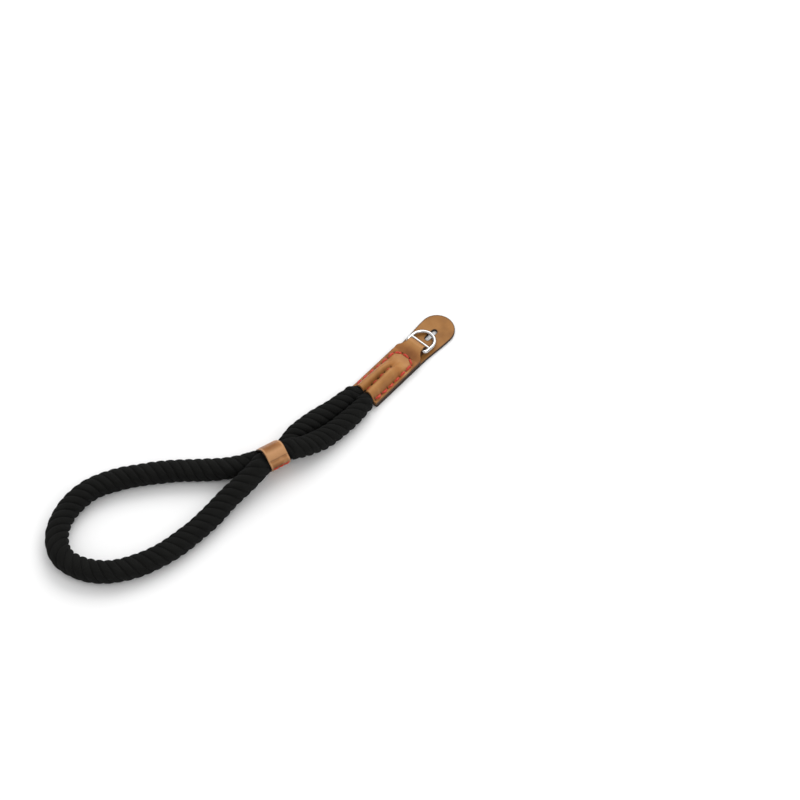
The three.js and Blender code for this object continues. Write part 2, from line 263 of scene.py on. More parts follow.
def settled(piece):
    """The piece with what its modifiers make as its plain mesh, and with no modifier left."""
    graph = bpy.context.evaluated_depsgraph_get()
    mesh = bpy.data.meshes.new_from_object(piece.evaluated_get(graph))
    piece.modifiers.clear()
    piece.data = mesh
    return piece


def made_by_nodes(name, mesh, tree, values):
    """The plain mesh that a node tree makes out of a starting mesh, with no modifier left on it."""
    piece = placed(name, mesh)
    modifier = piece.modifiers.new(name, "NODES")
    modifier.node_group = tree
    for socket in tree.interface.items_tree:
        if socket.in_out == "INPUT" and socket.name in values:
            modifier[socket.identifier] = values[socket.name]
    return settled(piece)


def strand_section(tree, given):
    """A closed curve round strands that touch. Its points carry their angle and share of the full radius."""
    index = tree.nodes.new("GeometryNodeInputIndex").outputs["Index"]
    middle = number(tree, "ADD", index, 0.5)
    strand = number(tree, "FLOOR", number(tree, "DIVIDE", middle, given["Points per Strand"]))
    point = number(tree, "MODULO", index, given["Points per Strand"])
    share = number(tree, "DIVIDE", point, given["Points per Strand"])
    widest = math.asin(1 / STRAND_OVERLAP)
    swing = number(tree, "MULTIPLY_ADD", share, 2 * widest, -widest)
    one_strand = number(tree, "DIVIDE", 2 * math.pi, given["Strands"])
    reach = number(tree, "MULTIPLY", one_strand, STRAND_OVERLAP / 2)
    offset = number(tree, "MULTIPLY", reach, number(tree, "SINE", swing))
    angle = number(tree, "MULTIPLY_ADD", one_strand, strand, offset)
    valley = number(tree, "SUBTRACT", 1.0, number(tree, "COSINE", swing))
    radius = number(tree, "SUBTRACT", 1.0, number(tree, "MULTIPLY", valley, given["Strand Radius"]))
    points = number(tree, "MULTIPLY", given["Strands"], given["Points per Strand"])
    section = add_node(tree, "GeometryNodeCurvePrimitiveCircle", {"Resolution": points, "Radius": 1.0})
    with_angle = marked(tree, section.outputs["Curve"], "section_angle", angle)
    return marked(tree, with_angle, "section_radius", radius)


def lay_map(tree, geometry, given, turned):
    """Millimetres round the rope and along it, so that a pattern lies true to size on the strands. The face
    that closes the round reads its first points one whole turn further on."""
    face_mean = add_node(tree, "GeometryNodeFieldOnDomain", {0: turned}, data_type="FLOAT", domain="FACE")
    behind = number(tree, "LESS_THAN", turned, number(tree, "SUBTRACT", face_mean.outputs[0], 1.0))
    unbroken = number(tree, "MULTIPLY_ADD", behind, 2 * math.pi, turned)
    radius = number(tree, "MULTIPLY", given["Rope Width"], MILLIMETRES / 2)
    round_rope = number(tree, "MULTIPLY", unbroken, radius)
    along = number(tree, "MULTIPLY", carried(tree, "reached"), MILLIMETRES)
    place = add_node(tree, "ShaderNodeCombineXYZ", {"X": round_rope, "Y": along})
    return marked(tree, geometry, "lay", place.outputs["Vector"], kind="FLOAT2", domain="CORNER")


def laid_rope_tree():
    """Sweeps the strands' section down the route, turned once in each lay length and squeezed as it goes."""
    inputs = {
        "Route": "Geometry",
        "Strands": "Int",
        "Points per Strand": "Int",
        "Strand Radius": "Float",
        "Lay Length": "Float",
        "Rope Width": "Float",
        "Slack": "Float",
        "Cotton": "Material",
    }
    tree, given = open_tree("laid_rope", inputs)
    line = add_node(tree, "GeometryNodeMeshToCurve", {"Mesh": given["Route"]})
    tube = add_node(
        tree,
        "GeometryNodeCurveToMesh",
        {"Curve": line.outputs["Curve"], "Profile Curve": strand_section(tree, given), "Fill Caps": True},
    )
    angle = carried(tree, "section_angle")
    reached = carried(tree, "reached")
    lays = number(tree, "DIVIDE", reached, given["Lay Length"])
    turned = number(tree, "MULTIPLY_ADD", lays, 2 * math.pi, angle)
    skew = number(tree, "MULTIPLY", angle, SLACK_WAVE_ROUND)
    wave = number(tree, "SINE", number(tree, "MULTIPLY_ADD", reached, SLACK_WAVE_ALONG, skew))
    ease = number(tree, "MULTIPLY", number(tree, "ADD", wave, 1.0), given["Slack"])
    tightness = number(tree, "SUBTRACT", 1.0, ease)
    radius = number(tree, "MULTIPLY", carried(tree, "section_radius"), tightness)
    place = carried(tree, "centre", "FLOAT_VECTOR")
    for name, swing in (("pressed", "COSINE"), ("broad", "SINE")):
        share = number(tree, "MULTIPLY", number(tree, swing, turned), radius)
        half = carried(tree, name, "FLOAT_VECTOR")
        reach = add_node(tree, "ShaderNodeVectorMath", {"Vector": half, "Scale": share}, operation="SCALE")
        both = {0: place, 1: reach.outputs["Vector"]}
        place = add_node(tree, "ShaderNodeVectorMath", both, operation="ADD").outputs["Vector"]
    laid = add_node(tree, "GeometryNodeSetPosition", {"Geometry": tube.outputs["Mesh"], "Position": place})
    with_map = lay_map(tree, laid.outputs["Geometry"], given, turned)
    smooth = add_node(tree, "GeometryNodeSetShadeSmooth", {0: with_map})
    return close_tree(tree, smooth.outputs[0], given["Cotton"])


def new_material(name, **shader_values):
    """A material, its node tree and its shader, with each named input of the shader set."""
    material = bpy.data.materials.new(name)
    material.use_nodes = True
    shader = material.node_tree.nodes["Principled BSDF"]
    for socket, value in shader_values.items():
        shader.inputs[socket.replace("_", " ")].default_value = value
    return material, material.node_tree, shader


def noise(tree, vector, scale, detail, **sockets):
    """Cloudy noise between 0 and 1."""
    inputs = {"Vector": vector, "Scale": scale, "Detail": detail, **sockets}
    return add_node(tree, "ShaderNodeTexNoise", inputs).outputs["Fac"]


def mapped(tree, vector, **sockets):
    """A pattern's place, moved or stretched."""
    return add_node(tree, "ShaderNodeMapping", {"Vector": vector, **sockets}).outputs["Vector"]


def mixed(tree, factor, first, second, kind="FLOAT"):
    """Two numbers, or two colours, blended by a factor."""
    return add_node(
        tree, "ShaderNodeMix", {"Factor": factor, "A": first, "B": second}, data_type=kind
    ).outputs["Result"]


def bumped(tree, shader, height, strength, distance):
    """Makes this height the shader's relief."""
    bump = add_node(tree, "ShaderNodeBump", {"Height": height, "Strength": strength, "Distance": distance})
    tree.links.new(bump.outputs["Normal"], shader.inputs["Normal"])


def colour_ramp(tree, factor, *stops):
    """A colour that passes through each stop's colour at its position."""
    ramp = add_node(tree, "ShaderNodeValToRGB", {"Fac": factor})
    elements = ramp.color_ramp.elements
    while len(elements) < len(stops):
        elements.new(0.5)
    for element, (position, colour) in zip(elements, stops):
        element.position = position
        element.color = (*colour, 1.0)
    return ramp.outputs["Color"]


def black_cotton():
    """Matt black cotton whose yarns run round the rope, with fine fibres, slow patches of wear, and painted
    shade in the grooves between the yarns.
    """
    material, tree, shader = new_material(
        "black_cotton", Roughness=0.92, Sheen_Weight=0.03, Sheen_Roughness=0.5, Specular_IOR_Level=0.06
    )
    shader.inputs["Sheen Tint"].default_value = (0.55, 0.55, 0.58, 1)
    lay = add_node(tree, "ShaderNodeUVMap", uv_map="lay").outputs["UV"]
    yarns = add_node(
        tree,
        "ShaderNodeTexWave",
        {"Vector": lay, "Scale": 0.5, "Distortion": 1.2, "Detail": 2.0, "Detail Scale": 0.6},
        wave_type="BANDS",
        bands_direction="X",
    )
    fibres = noise(tree, mapped(tree, lay, Scale=(7.0, 1.6, 1.0)), 1.0, 4.0, Roughness=0.6)
    patches = noise(tree, lay, 0.14, 3.0)
    relief = mixed(tree, 0.45, yarns.outputs["Fac"], fibres)
    lightness = mixed(tree, 0.4, relief, patches)
    dark = (0.0055, 0.0055, 0.0052)
    middle = (0.0085, 0.0086, 0.0080)
    light = (0.0135, 0.0137, 0.0128)
    # The colour follows the yarns' relief: darker in its grooves as painted shade and lighter on its crests
    # as a painted highlight. The slow patches are wear.
    colour = colour_ramp(tree, lightness, (0.25, dark), (0.5, middle), (0.78, light))
    tree.links.new(colour, shader.inputs["Base Color"])
    bumped(tree, shader, relief, 0.9, 0.00022)
    return material


rope_centres, rope_reached = evenly_spaced(smooth_rows(ROPE_ROUTE, SAMPLES_PER_SPAN), RING_STEP)
rope_sizes = {
    "Strands": STRANDS,
    "Points per Strand": POINTS_PER_STRAND,
    "Strand Radius": STRAND_RADIUS,
    "Lay Length": LAY_LENGTH,
    "Rope Width": ROPE_WIDTH,
    "Slack": SLACK,
    "Cotton": black_cotton(),
}
rope = made_by_nodes("wrist_rope", rope_route(rope_centres, rope_reached), laid_rope_tree(), rope_sizes)
for helper in ("centre", "pressed", "broad", "reached", "section_angle", "section_radius"):
    rope.data.attributes.remove(rope.data.attributes[helper])
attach(rope, "strap")
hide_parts("rope_loop")


# ---- Keeper -----------------------------------------------------------------------------------------
# A strip of tan leather wrapped once round both strands, its skived outer end glued over the inner one on
# the upper side. Three stitches low on its front fix it to the rope, and its cut edges are dyed.
KEEPER_LEAN = math.radians(57)
KEEPER_HALF_TALL = 0.0073
KEEPER_HALF_WIDE = 0.0052
LEATHER = 0.0013
KEEPER_BEVEL = 0.0006
KEEPER_SQUARENESS = 3
KEEPER_ASKEW = 0.0005
WRAP_POINTS = 150
WRAP_CLEARANCE = 0.00002
# The wrap's angles turn about the rope from its top. The outer end climbs over the inner one as it laps it.
LAP_START = math.radians(-34)
LAP_END = math.radians(366)
LAP_RISE = (math.radians(285), math.radians(338))
LAP_HEIGHT = 0.00105
# Each skive is the share of the leather that is pared away and the angle over which it thins.
OUTER_SKIVE = (0.65, 0.3)
INNER_SKIVE = (0.3, 0.4)
KEEPER_ROW_ANGLE = math.radians(53)
KEEPER_ROW = (-0.0044, -0.00145, 0.0015, 0.00445)
# How deep a stitch pulls the leather in at its hole, and how far from the hole.
KEEPER_DENT = (0.0003, 0.0006)
# Painted light round the wrap, as angles: where painted shade darkens its lower front, and the middle and
# reach of each pale band of painted highlight.
LOW_FRONT_SHADE_FROM = (0.5, 0.75)
LOW_FRONT_SHADE_TO = (1.6, 2.4)
CROWN_HIGHLIGHT = (-0.11, 0.24)
BELOW_LAP_HIGHLIGHT = (0.32, 0.14)
# A strip's rounded edge, from its top down, as shares of its bevel in from the side and of its height.
BEVEL_ROUND = ((0.3, 0.93), (0.0, 0.75), (0.0, 0.25), (0.3, 0.07))


def smoothstep(value, low, high):
    """A smooth climb from 0 to 1 between two values."""
    share = np.clip((value - low) / (high - low), 0.0, 1.0)
    return share * share * (3 - 2 * share)


def bell(distance, reach):
    """A smooth hump that is 1 at no distance and fades within a few reaches."""
    return np.exp(-((distance / reach) ** 2))


def oval_point(angle, half_tall, half_wide):
    """The tall and wide place at an angle round the keeper's boxy oval."""
    cos = math.cos(angle)
    sin = math.sin(angle)
    power = 2 / KEEPER_SQUARENESS
    tall = half_tall * math.copysign(abs(cos) ** power, cos)
    wide = half_wide * math.copysign(abs(sin) ** power, sin)
    return tall, wide


def keeper_wrap():
    """The strip's inner and outer faces as tall and wide places round the wrap, and their angles."""
    turns = LAP_START + (LAP_END - LAP_START) * np.linspace(0, 1, WRAP_POINTS)
    inner = []
    outer = []
    for angle in turns:
        lift = LAP_HEIGHT * smoothstep(angle, *LAP_RISE)
        skive = 1 - OUTER_SKIVE[0] * smoothstep(angle, LAP_END - OUTER_SKIVE[1], LAP_END)
        skive *= 1 - INNER_SKIVE[0] * smoothstep(-angle, -LAP_START - INNER_SKIVE[1], -LAP_START)
        low = lift + WRAP_CLEARANCE
        high = lift + LEATHER * skive
        inner.append(oval_point(angle, KEEPER_HALF_TALL + low, KEEPER_HALF_WIDE + low))
        outer.append(oval_point(angle, KEEPER_HALF_TALL + high, KEEPER_HALF_WIDE + high))
    return np.array(inner), np.array(outer), turns


def strip_section(width, bevel, flat_points=19):
    """The outline of a strip's cross-section: its place across, and its height share, from bottom to top."""
    half = width / 2
    flat = list(np.linspace(-half + bevel, half - bevel, flat_points))
    places = [(across, 1.0) for across in flat]
    places += [(half - inward * bevel, height) for inward, height in BEVEL_ROUND]
    places += [(across, 0.0) for across in reversed(flat)]
    places += [(-half + inward * bevel, height) for inward, height in reversed(BEVEL_ROUND)]
    return places


def skin(name, rings, looped=False):
    """A mesh object skinned over equal closed rings of points, which turn anticlockwise about their row."""
    rows, count = rings.shape[:2]
    faces = []
    for row in range(rows if looped else rows - 1):
        here = row * count
        there = (row + 1) % rows * count
        for side in range(count):
            other = (side + 1) % count
            faces.append((here + side, here + other, there + other, there + side))
    if not looped:
        faces.append(tuple(range(count - 1, -1, -1)))
        faces.append(tuple(range((rows - 1) * count, rows * count)))
    mesh = bpy.data.meshes.new(name)
    mesh.from_pydata(rings.reshape(-1, 3).tolist(), [], faces)
    mesh.shade_smooth()
    return placed(name, mesh)


def set_attribute(piece, name, values):
    """Stores one number for each vertex, which the piece's material reads by this name."""
    attribute = piece.data.attributes.new(name, "FLOAT", "POINT")
    attribute.data.foreach_set("value", np.asarray(values, float).ravel())


def spread(tree, value, span, wanted):
    """A value in one span of numbers carried over to another span."""
    node = add_node(tree, "ShaderNodeMapRange", {"Value": value})
    for name, limit in zip(("From Min", "From Max", "To Min", "To Max"), (*span, *wanted)):
        node.inputs[name].default_value = limit
    return node.outputs["Result"]


def leather_group():
    """The hide's own pattern: the height of its grain and pores, a slow drift of tone, and its pores."""
    group = bpy.data.node_groups.new("leather_hide", "ShaderNodeTree")
    group.interface.new_socket("Vector", in_out="INPUT", socket_type="NodeSocketVector")
    group.interface.new_socket("Pebbles per Metre", in_out="INPUT", socket_type="NodeSocketFloat")
    for name in ("Grain", "Tone", "Pores"):
        group.interface.new_socket(name, in_out="OUTPUT", socket_type="NodeSocketFloat")
    place, pebbles_per_metre = group.nodes.new("NodeGroupInput").outputs[:2]
    warp = add_node(group, "ShaderNodeTexNoise", {"Vector": place, "Scale": 900.0, "Detail": 2.0})
    shifted = add_node(
        group,
        "ShaderNodeVectorMath",
        {0: warp.outputs["Color"], 1: (0.0004, 0.0004, 0.0004), 2: place},
        operation="MULTIPLY_ADD",
    )
    pebbles = add_node(
        group,
        "ShaderNodeTexVoronoi",
        {"Vector": shifted.outputs["Vector"], "Scale": pebbles_per_metre, "Randomness": 0.95},
        feature="SMOOTH_F1",
    )
    dots = add_node(group, "ShaderNodeTexVoronoi", {"Vector": place, "Scale": 1150.0, "Randomness": 1.0})
    pores = spread(group, dots.outputs["Distance"], (0.04, 0.22), (1.0, 0.0))
    grain = mixed(group, 0.5, pebbles.outputs["Distance"], noise(group, place, 1500.0, 5.0))
    leave = group.nodes.new("NodeGroupOutput")
    group.links.new(number(group, "MULTIPLY_ADD", pores, -0.35, grain), leave.inputs["Grain"])
    group.links.new(noise(group, place, 130.0, 4.0), leave.inputs["Tone"])
    group.links.new(pores, leave.inputs["Pores"])
    return group


HIDE = leather_group()
# The near black of dyed edges, also used for painted shade.
DARK_DYE_AND_SHADE = (0.022, 0.011, 0.006)


def tan_leather(name, shade, tan, light, polish, pebbles, centre):
    """Smooth tan leather. One of the piece's own attributes darkens it towards near black, for its dyed
    edges and for painted shade, and another makes it paler, for painted highlights and a paler panel."""
    material, tree, shader = new_material(
        name, Specular_IOR_Level=0.22, Coat_Weight=polish, Coat_Roughness=0.3
    )
    place = add_node(tree, "ShaderNodeTexCoord").outputs["Object"]
    centred = mapped(tree, place, Location=tuple(-c for c in centre))
    inputs = {"Vector": centred, "Pebbles per Metre": pebbles}
    hide = add_node(tree, "ShaderNodeGroup", inputs, node_tree=HIDE)
    dye_and_shade = add_node(tree, "ShaderNodeAttribute", attribute_name="dye_and_shade").outputs["Fac"]
    paleness = add_node(tree, "ShaderNodeAttribute", attribute_name="paleness").outputs["Fac"]
    drift = colour_ramp(tree, hide.outputs["Tone"], (0.3, shade), (0.52, tan), (0.72, light))
    # The second attribute paints highlights, and makes the sleeve's sewn panel paler.
    paler = mixed(tree, paleness, drift, (*light, 1.0), "RGBA")
    pitted = mixed(tree, hide.outputs["Pores"], paler, (*shade, 1.0), "RGBA")
    softened = mixed(tree, 0.35, paler, pitted, "RGBA")
    # The first attribute darkens dyed edges, and also paints shade.
    darkened = mixed(tree, dye_and_shade, softened, (*DARK_DYE_AND_SHADE, 1.0), "RGBA")
    tree.links.new(darkened, shader.inputs["Base Color"])
    gloss = spread(tree, hide.outputs["Grain"], (0.1, 0.8), (0.42, 0.62))
    tree.links.new(gloss, shader.inputs["Roughness"])
    bumped(tree, shader, hide.outputs["Grain"], 0.6, 0.00012)
    return material


def keeper_frame():
    """The keeper's own directions as rows: along the rope, through both strands, and across them."""
    along = Vector((1, 0, 0))
    tall_way = Vector((0, -math.cos(KEEPER_LEAN), math.sin(KEEPER_LEAN)))
    return np.array([along, tall_way, along.cross(tall_way)])


def keeper_surface(across, angle):
    """The place and the normal of the keeper's outer face at a place across it and round it."""
    reach = 0.02
    tall = KEEPER_HALF_TALL + LEATHER
    wide = KEEPER_HALF_WIDE + LEATHER
    here = np.array((across + KEEPER_ASKEW * math.sin(angle), *oval_point(angle, tall, wide)))
    before = np.array(oval_point(angle - reach, tall, wide))
    after = np.array(oval_point(angle + reach, tall, wide))
    run = after - before
    normal = np.array((0.0, run[1], -run[0]))
    point = here @ keeper_frame() + np.array(KEEPER_CENTRE)
    return point, unit(normal @ keeper_frame())


def keeper_holes():
    """Each hole of the keeper's one row, with the leather's normal there."""
    return [keeper_surface(across, KEEPER_ROW_ANGLE) for across in KEEPER_ROW]


def build_keeper():
    """Sweeps the strip's section round the wrap, dents it at the holes, and marks its dyed edges, its
    painted shade and its painted highlights.
    """
    inner, outer, turns = keeper_wrap()
    section = strip_section(KEEPER_WIDTH, KEEPER_BEVEL)[::-1]
    rings = []
    for low, high, angle in zip(inner, outer, turns):
        ring = []
        for across, height in section:
            tall, wide = low + (high - low) * height
            here = np.array((across + KEEPER_ASKEW * math.sin(angle), tall, wide))
            ring.append(here @ keeper_frame() + np.array(KEEPER_CENTRE))
        rings.append(ring)
    rings = np.array(rings)
    dents = np.zeros(rings.shape[:2])
    for hole, _ in keeper_holes():
        dents = np.maximum(dents, bell(np.linalg.norm(rings - hole, axis=2), KEEPER_DENT[1]))
    _, outward = keeper_surface(0.0, KEEPER_ROW_ANGLE)
    keeper = skin("keeper", rings - KEEPER_DENT[0] * dents[..., None] * outward)
    from_side = np.array([KEEPER_WIDTH / 2 - abs(across) for across, _ in section])
    cut_sides = 1 - smoothstep(from_side, 0.0, 0.5 * KEEPER_BEVEL)
    round_wrap = (turns + math.pi) % (2 * math.pi) - math.pi
    # Painted shade darkens the wrap's lower front.
    low_front_shade = 0.3 * smoothstep(round_wrap, *LOW_FRONT_SHADE_FROM) * (1 - smoothstep(round_wrap, *LOW_FRONT_SHADE_TO))
    darkened = np.maximum(cut_sides[None, :], low_front_shade[:, None])
    darkened[-1] = 0.25
    # The dimples at the stitch holes are darkened as painted shade.
    set_attribute(keeper, "dye_and_shade", np.maximum(darkened, 0.8 * dents))
    # Painted highlights: a pale band along the crown, and a weaker one just below the lap's end.
    crown_highlight = bell(round_wrap - CROWN_HIGHLIGHT[0], CROWN_HIGHLIGHT[1])
    below_lap_highlight = 0.5 * bell(round_wrap - BELOW_LAP_HIGHLIGHT[0], BELOW_LAP_HIGHLIGHT[1])
    lightness = np.maximum(crown_highlight, below_lap_highlight)
    # A painted highlight along each rim of the top face.
    rim_highlight = 0.9 * (1 - smoothstep(from_side, KEEPER_BEVEL, 2.2 * KEEPER_BEVEL))
    set_attribute(keeper, "paleness", np.maximum(lightness[:, None], rim_highlight[None, :]))
    return keeper


keeper = build_keeper()
keeper_leather = tan_leather(
    "keeper_leather",
    shade=(0.20, 0.076, 0.018),
    tan=(0.28, 0.108, 0.026),
    light=(0.54, 0.280, 0.125),
    polish=0.12,
    pebbles=1800.0,
    centre=KEEPER_CENTRE,
)
keeper.data.materials.append(keeper_leather)
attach(keeper, "strap")
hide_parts("keeper_band")


# ---- Guard pad --------------------------------------------------------------------------------------
# A flat strip of tan leather under the sleeve, with a wide round tip that keeps the ring off the camera's
# side. A slot is punched through the tip for the camera's lug, and the cut edge is dyed and burnished.
PAD_THICK = 0.0015
PAD_START = 0.0005
PAD_HALF = 0.0081
PAD_STRIP_END = 0.036
PAD_TIP_CENTRE = 0.0564
PAD_TIP_RADIUS = 0.0092
PAD_CORNER = 0.0009
RIM_STEP = 0.0003
SLOT_START = 0.0474
SLOT_END = 0.0556
SLOT_HALF = 0.0013
# Each row of a rim is how far it lies in from the cut edge, its height, and how dyed the leather is there.
RIM_PROFILE = (
    (0.0008, 0.0, 0.0),
    (0.0003, 0.0, 1.0),
    (0.0001, 0.00006, 1.0),
    (0.0, 0.0003, 1.0),
    (0.0, PAD_THICK - 0.0003, 1.0),
    (0.00008, PAD_THICK - 0.0001, 1.0),
    (0.00025, PAD_THICK, 0.8),
    (0.00042, PAD_THICK, 0.3),
    (0.0008, PAD_THICK, 0.0),
)


def arc(x, y, radius, first, last, points):
    """Places along an arc about a centre, from one angle in degrees to another."""
    angles = np.radians(np.linspace(first, last, points))
    return [(x + radius * math.cos(angle), y + radius * math.sin(angle)) for angle in angles]


def even_loop(places):
    """The closed line through some places, with points at equal distances along it."""
    closed = np.array([*places, places[0]])
    return evenly_spaced(closed, RIM_STEP)[0][:-1]


def pad_side(along):
    """The pad's half width, which swells from its strip to its round tip."""
    return PAD_HALF + (PAD_TIP_RADIUS - PAD_HALF) * smoothstep(along, PAD_STRIP_END, PAD_TIP_CENTRE)


def pad_outline():
    """The pad's outer edge, anticlockwise from its lower corner at the sleeve's mouth."""
    corner = PAD_START + PAD_CORNER
    sides = np.linspace(corner, PAD_TIP_CENTRE, 90)
    places = arc(corner, -PAD_HALF + PAD_CORNER, PAD_CORNER, 180, 270, 8)
    places += [(x, -pad_side(x)) for x in sides[1:-1]]
    places += arc(PAD_TIP_CENTRE, 0, PAD_TIP_RADIUS, -90, 90, 80)
    places += [(x, pad_side(x)) for x in sides[-2:0:-1]]
    places += arc(corner, PAD_HALF - PAD_CORNER, PAD_CORNER, 90, 180, 8)
    return even_loop(places)


def slot_outline():
    """The slot's edge, clockwise, so that its wall also faces away from the leather."""
    places = arc(SLOT_END - SLOT_HALF, 0, SLOT_HALF, 90, -90, 14)
    places += arc(SLOT_START + SLOT_HALF, 0, SLOT_HALF, 270, 90, 14)
    return even_loop(places)


def inset(outline, distance):
    """A closed line moved to its left by a distance."""
    before = np.roll(outline, 1, axis=0)
    after = np.roll(outline, -1, axis=0)
    heading = unit(after - before)
    return outline + distance * np.stack([-heading[:, 1], heading[:, 0]], axis=1)


def build_pad():
    """Both rims are built as rings from the underside round to the top, and the faces between are filled."""
    shape = bmesh.new()
    edge_layer = shape.verts.layers.float.new("dye_and_shade")
    rims = []
    for outline in (pad_outline(), slot_outline()):
        rings = []
        for distance, height, darkened in RIM_PROFILE:
            ring = [shape.verts.new((x, y, height)) for x, y in inset(outline, distance)]
            for vertex in ring:
                vertex[edge_layer] = darkened
            rings.append(ring)
        for lower, upper in zip(rings, rings[1:]):
            for index, vertex in enumerate(lower):
                after = (index + 1) % len(lower)
                shape.faces.new((vertex, lower[after], upper[after], upper[index]))
        rims.append((rings[0], rings[-1]))
    for level in (0, 1):
        edges = []
        for rim in rims:
            ring = rim[level]
            edges += [shape.edges.get(pair) for pair in zip(ring, ring[1:] + ring[:1])]
        bmesh.ops.triangle_fill(shape, edges=edges, use_beauty=True)
    bmesh.ops.recalc_face_normals(shape, faces=shape.faces)
    shape.transform(END_PLACE)
    mesh = bpy.data.meshes.new("guard_pad")
    shape.to_mesh(mesh)
    shape.free()
    mesh.shade_smooth()
    return placed("guard_pad", mesh)


pad = build_pad()
pad_leather = tan_leather(
    "pad_leather",
    shade=(0.25, 0.104, 0.022),
    tan=(0.31, 0.134, 0.030),
    light=(0.355, 0.162, 0.042),
    polish=0.03,
    pebbles=2000.0,
    centre=END_PLACE.translation,
)
pad.data.materials.append(pad_leather)
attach(pad, "strap")
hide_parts("lug_pad")


# ---- End sleeve -------------------------------------------------------------------------------------
# One strip of tan leather that is folded round the ring's bar. Its two layers are glued, and the upper one
# is drawn down between and beside the two rope ends, which raise it into two ridges as far as they reach.
SLEEVE_FLOOR = 0.0018
SLEEVE_HALF = 0.008
FOLD_HALF = 0.0049
SHOULDER = (0.0335, 0.0381)
RIDGE_FADE = (0.016, 0.029)
RIDGE_HALF = 0.0039
RIDGE_TOP = 0.0096
RIDGE_FOOT = 0.12
FLAT_TOP = SLEEVE_FLOOR + 2 * LEATHER
FOLD_X = 0.0395
FOLD_RADIUS = 0.00255
FOLD_Z = SLEEVE_FLOOR + FOLD_RADIUS
SLOPE_START = 0.032
CORNER_DROOP = 0.5
ROW_START = 0.0014
STITCH_PITCH = 0.0046
SIDE_ROW = 0.0061
END_ROW = 0.0318
END_ROW_CORNER = 0.0034
MIDDLE_ROW = (0.0011, 0.0205)
GLUE_GAP = 0.00006
RIM_ROUND = 0.00012
# Each of these is a depth and how far its dip reaches: between the ridges, along a row, and at each hole.
GROOVE = (0.0008, 0.0008)
SEAM_DIP = (0.00016, 0.0009)
HOLE_DIPS = ((0.0003, 0.0006), (0.00025, 0.0015))
# Where the colour changes start and end along the sleeve: painted shade in the hollow past the end row, a
# painted highlight on the fold, and the paler sewn panel.
HOLLOW_SHADE_FROM = (END_ROW, END_ROW + 0.0008)
HOLLOW_SHADE_TO = (0.0333, 0.0372)
FOLD_HIGHLIGHT_FROM = (0.0345, FOLD_X)
PANEL_FROM = (0.018, 0.026)
PANEL_TO = (END_ROW - 0.001, END_ROW)
PANEL_SIDE = (SIDE_ROW - 0.0015, SIDE_ROW - 0.0003)


def ridge_centre(along):
    """How far each rope end lies from the sleeve's middle line at this distance from the mouth."""
    return np.interp(along, (0.0, 0.0095, 0.0195), (0.0028, 0.00242, 0.002))


def sleeve_half(along):
    """The strip's half width, which narrows at the shoulder to what fits inside the ring."""
    return SLEEVE_HALF + (FOLD_HALF - SLEEVE_HALF) * smoothstep(along, *SHOULDER)


def fold_rise(along):
    """The upper face rises straight from the flat layers until it touches the fold's round end."""
    run = FOLD_X - SLOPE_START
    slope = math.asin((FOLD_RADIUS - (FLAT_TOP - FOLD_Z)) / run)
    touch = FOLD_X - FOLD_RADIUS * math.sin(slope)
    rise = FLAT_TOP + np.clip(along - SLOPE_START, 0.0, touch - SLOPE_START) * math.tan(slope)
    on_fold = FOLD_Z + np.sqrt(np.maximum(0.0, FOLD_RADIUS ** 2 - (along - FOLD_X) ** 2))
    return np.where(along > touch, on_fold, rise)


def row_paths():
    """The two rows of stitches as places along and across the sleeve: the round one, and the middle one."""
    corner = END_ROW - END_ROW_CORNER
    bend = SIDE_ROW - END_ROW_CORNER
    places = [(x, -SIDE_ROW) for x in np.linspace(ROW_START, corner, 60)]
    places += arc(corner, -bend, END_ROW_CORNER, -90, 0, 20)
    places += [(END_ROW, y) for y in np.linspace(-bend, bend, 16)[1:-1]]
    places += arc(corner, bend, END_ROW_CORNER, 0, 90, 20)
    places += [(x, SIDE_ROW) for x in np.linspace(corner, ROW_START, 60)]
    middle = [(x, 0.0) for x in np.linspace(*MIDDLE_ROW, 60)]
    return np.array(places), np.array(middle)


# Each row of stitches as a close line of places, and as the holes that its thread goes through.
SLEEVE_ROWS = [(path[::2], evenly_spaced(path, STITCH_PITCH)[0]) for path in row_paths()]


def distance_to(places, along, across):
    """How far each place on the sleeve is from the nearest one of some places."""
    nearest = np.full(np.shape(across), 1.0)
    for place in places:
        nearest = np.minimum(nearest, np.hypot(along - place[0], across - place[1]))
    return nearest


def sleeve_top(along, across):
    """The height of the upper face: ridges, sewn-down rows, a dimple at each hole, and the rise to the fold,
    where the strip's wide corners droop beside its narrow end."""
    offset = (np.abs(across) - ridge_centre(along)) / RIDGE_HALF
    fade = 1 - smoothstep(along, *RIDGE_FADE)
    ridge = np.maximum(0.0, 1 - offset ** 2)
    eased_foot = 0.5 * ridge * (ridge / RIDGE_FOOT + 1)
    ridge = np.where(ridge > RIDGE_FOOT, ridge, eased_foot)
    groove = GROOVE[0] * bell(across, GROOVE[1])
    height = FLAT_TOP + fade * ((RIDGE_TOP - FLAT_TOP) * ridge - groove)
    for row, holes in SLEEVE_ROWS:
        height = height - SEAM_DIP[0] * bell(distance_to(row, along, across), SEAM_DIP[1])
        to_hole = distance_to(holes, along, across)
        for depth, reach in HOLE_DIPS:
            height = height - depth * bell(to_hole, reach)
    droop = 1 - CORNER_DROOP * smoothstep(np.abs(across), FOLD_HALF, SLEEVE_HALF)
    rise = FLAT_TOP + droop * (fold_rise(along) - FLAT_TOP)
    return np.where(along > SLOPE_START, np.maximum(rise, height), height)


